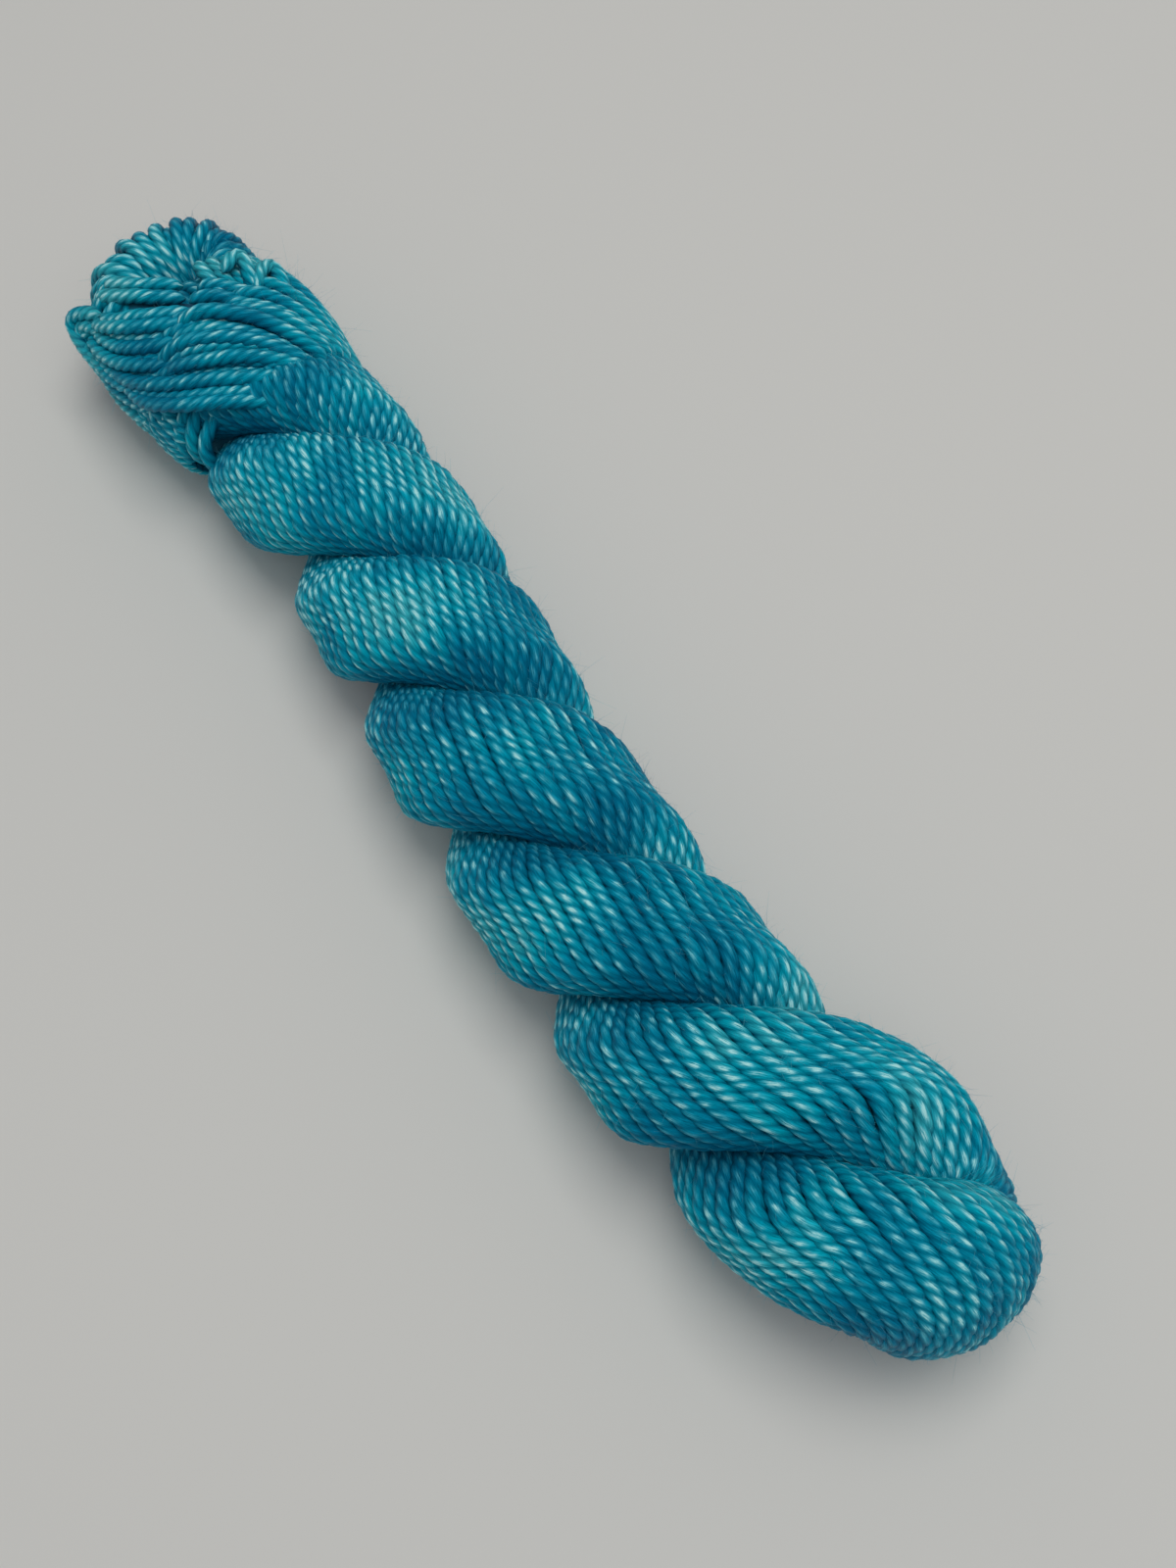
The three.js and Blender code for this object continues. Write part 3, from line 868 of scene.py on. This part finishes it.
# %% [markdown]
# A dash, painted highlight with some paler fibre, is a soft oval on its ply. How far past the dash's middle
# a point lies along the thread, and how far beside it, are turned by the dash's slant and measured in its own
# half length and half width.

# %% Mark the dashes of painted highlight
in_ply = maths(tree, "SUBTRACT", maths(tree, "FRACT", plies_round), 0.5)
past = maths(tree, "MULTIPLY", sideways, -PLY_PITCH / (2 * math.pi))
past = maths(tree, "MULTIPLY_ADD", in_ply, PLY_APART, past)
past = maths(tree, "ADD", past, maths(tree, "MULTIPLY_ADD", dashes, DASH_JITTER, -0.5 * DASH_JITTER))
beside = maths(tree, "MULTIPLY", sideways, THREAD_THICK / 2)


def measure_from_dash(way_past, way_beside, half_size):
    """Measure along one way of the dash, squared, in half sizes of it."""
    way = maths(tree, "MULTIPLY", past, way_past / half_size)
    way = maths(tree, "MULTIPLY_ADD", beside, way_beside / half_size, way)
    return maths(tree, "MULTIPLY", way, way)


far_along = measure_from_dash(math.cos(DASH_SLANT), -math.sin(DASH_SLANT), DASH_HALF_LONG)
far_across = measure_from_dash(math.sin(DASH_SLANT), math.cos(DASH_SLANT), DASH_HALF_WIDE)
# painted highlight: the oval where each ply's outward crest is made bright
highlight_mark = maths(tree, "EXPONENT", maths(tree, "MULTIPLY", maths(tree, "ADD", far_along, far_across), -1.0))
highlight_mark = maths(tree, "MULTIPLY", highlight_mark, maths(tree, "GREATER_THAN", facing, 0.0))

lit = maths(tree, "MULTIPLY_ADD", maths(tree, "MULTIPLY_ADD", tone, LIT_TONE, dashes), LIT_GAIN, LIT_START)
lit = maths(tree, "MINIMUM", maths(tree, "MAXIMUM", lit, LIT_LEAST), 1.0)
fibrous = maths(tree, "MULTIPLY_ADD", streaks, FIBROUS_GAIN, FIBROUS_START)
dash = maths(tree, "MULTIPLY", maths(tree, "MULTIPLY", highlight_mark, lit), fibrous)
dash = maths(tree, "MINIMUM", maths(tree, "MAXIMUM", maths(tree, "MULTIPLY", dash, DASH_HIGHLIGHT_SHARE), 0.0), 1.0)
print("dashes slant", round(math.degrees(DASH_SLANT)), "degrees from their thread")

# %% [markdown]
# Painted shade darkens the dye in the ply valleys and down the thread's sides, the fine fibres streak
# it, and then the dashes of painted highlight go on in two steps, from bright teal to pale.

# %% Mix the thread's colours
# painted shade: darker down the thread's sides, away from the way out, and in the valleys between plies
painted_side_shade = maths(tree, "MULTIPLY", maths(tree, "SUBTRACT", 1.0, facing), SIDE_SHADE_SHARE)
valley = maths(tree, "MULTIPLY_ADD", maths(tree, "SUBTRACT", 1.0, crest), VALLEY_SHADE_SHARE, painted_side_shade)
valley = maths(tree, "MINIMUM", valley, 1.0)
streaked = mix(tree, 1.0, dye, ramp(tree, streaks, STREAK_STOPS), "MULTIPLY")
# painted highlight: each dash turns the colour to bright teal, then to pale
glow_highlighted = mix(tree, dash, mix(tree, valley, streaked, VALLEY_SHADE_COLOUR), GLOW_HIGHLIGHT_COLOUR)
coloured = mix(tree, maths(tree, "POWER", dash, PALE_POWER), glow_highlighted, DASH_HIGHLIGHT_COLOUR)
tree.links.new(coloured, shader.inputs["Base Color"])
shader.inputs["Roughness"].default_value = 0.42
shader.inputs["Specular IOR Level"].default_value = 0.1
shader.inputs["Specular Tint"].default_value = (0.05, 0.85, 1.0, 1.0)
bump = tree.nodes.new("ShaderNodeBump")
bump.inputs["Strength"].default_value = 0.6
bump.inputs["Distance"].default_value = 0.1 * MM
tree.links.new(streaks, bump.inputs["Height"])
tree.links.new(bump.outputs["Normal"], shader.inputs["Normal"])
print("dyed_thread has", len(tree.nodes), "nodes")

# %% [markdown]
# The inner winding and the loose fibres take the same dye with a fixed drift of their own. The winding
# is darkened with painted shade, because it lies deep in the gaps, and the fibres are made a little paler.

# %% Dye the inner winding and the loose fibres
# INNER_SHADE is painted shade for the gaps between the outer threads
INNER_SHADE = (0.2, 0.34, 0.42)
FIBRE_PALE = 0.2
INNER_DRIFT, FIBRE_DRIFT = 0.5, 0.56

inner_shaded_dye, tree, shader = make_material("inner_shaded_dye")
dye, _ = place_dye(tree, INNER_DRIFT)
tree.links.new(mix(tree, 1.0, dye, INNER_SHADE, "MULTIPLY"), shader.inputs["Base Color"])
shader.inputs["Roughness"].default_value = 0.9

fibre_dye, tree, shader = make_material("fibre_dye")
dye, _ = place_dye(tree, FIBRE_DRIFT)
tree.links.new(mix(tree, FIBRE_PALE, dye, DASH_HIGHLIGHT_COLOUR), shader.inputs["Base Color"])
shader.inputs["Roughness"].default_value = 0.55
print("finishes", dyed.name, inner_shaded_dye.name, fibre_dye.name)

# %% [markdown]
# Nothing on a skein moves by itself, so every piece rides on the one body. Together they stand for the
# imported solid, which is hidden.

# %% Put the pieces on the body
finishes = {inner_winding: inner_shaded_dye, loose_fibres: fibre_dye}
for piece in (*wound, inner_winding, loose_fibres):
    piece.data.materials.append(finishes.get(piece, dyed))
    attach(piece, "root")
    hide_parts("skein")
print(len(wound) + 2, "pieces on the body")

# %% [markdown]
# The stage is a plain pale floor under soft studio light. The stronger light hangs above the skein, a
# weaker and wider one hangs above the fold's side, and a little light comes from all round.

# %% Set the stage
FLOOR_COLOUR = (0.70, 0.695, 0.67, 1.0)
FLOOR_HALF = 1.5               # metres from the skein to the floor's edge
STUDIO_COLOUR, STUDIO_STRENGTH = (0.97, 0.98, 1.0, 1.0), 0.3
KEY_PLACE, KEY_WIDTH, KEY_WATTS, KEY_COLOUR = (-0.01, 0.11, 0.66), 0.40, 1.7, (1.0, 0.99, 0.96)
FILL_PLACE, FILL_WIDTH, FILL_WATTS, FILL_COLOUR = (0.35, -0.02, 0.70), 0.5, 0.7, (0.98, 0.99, 1.0)

bpy.context.scene.view_settings.view_transform = "Standard"
floor_mesh = bpy.data.meshes.new("floor")
shape = bmesh.new()
bmesh.ops.create_grid(shape, x_segments=1, y_segments=1, size=FLOOR_HALF)
shape.to_mesh(floor_mesh)
shape.free()
floor = bpy.data.objects.new("floor", floor_mesh)
bpy.context.scene.collection.objects.link(floor)
pale_floor, _, floor_shader = make_material("pale_floor")
floor_shader.inputs["Base Color"].default_value = FLOOR_COLOUR
floor_shader.inputs["Roughness"].default_value = 0.9
floor.data.materials.append(pale_floor)

world = bpy.data.worlds.new("studio")
bpy.context.scene.world = world
world.use_nodes = True
world.node_tree.nodes["Background"].inputs["Color"].default_value = STUDIO_COLOUR
world.node_tree.nodes["Background"].inputs["Strength"].default_value = STUDIO_STRENGTH


def add_softbox(name, place, width, watts, colour):
    """Add a square area light that points at the skein's middle."""
    light = bpy.data.lights.new(name, "AREA")
    light.size = width
    light.energy = watts
    light.color = colour
    lamp = bpy.data.objects.new(name, light)
    lamp.location = Vector(place)
    lamp.rotation_mode = "QUATERNION"
    lamp.rotation_quaternion = (-lamp.location).to_track_quat("-Z", "Y")
    bpy.context.scene.collection.objects.link(lamp)


add_softbox("key_light", KEY_PLACE, KEY_WIDTH, KEY_WATTS, KEY_COLOUR)
add_softbox("fill_light", FILL_PLACE, FILL_WIDTH, FILL_WATTS, FILL_COLOUR)
print("stage lit by", KEY_WATTS, "and", FILL_WATTS, "watts")
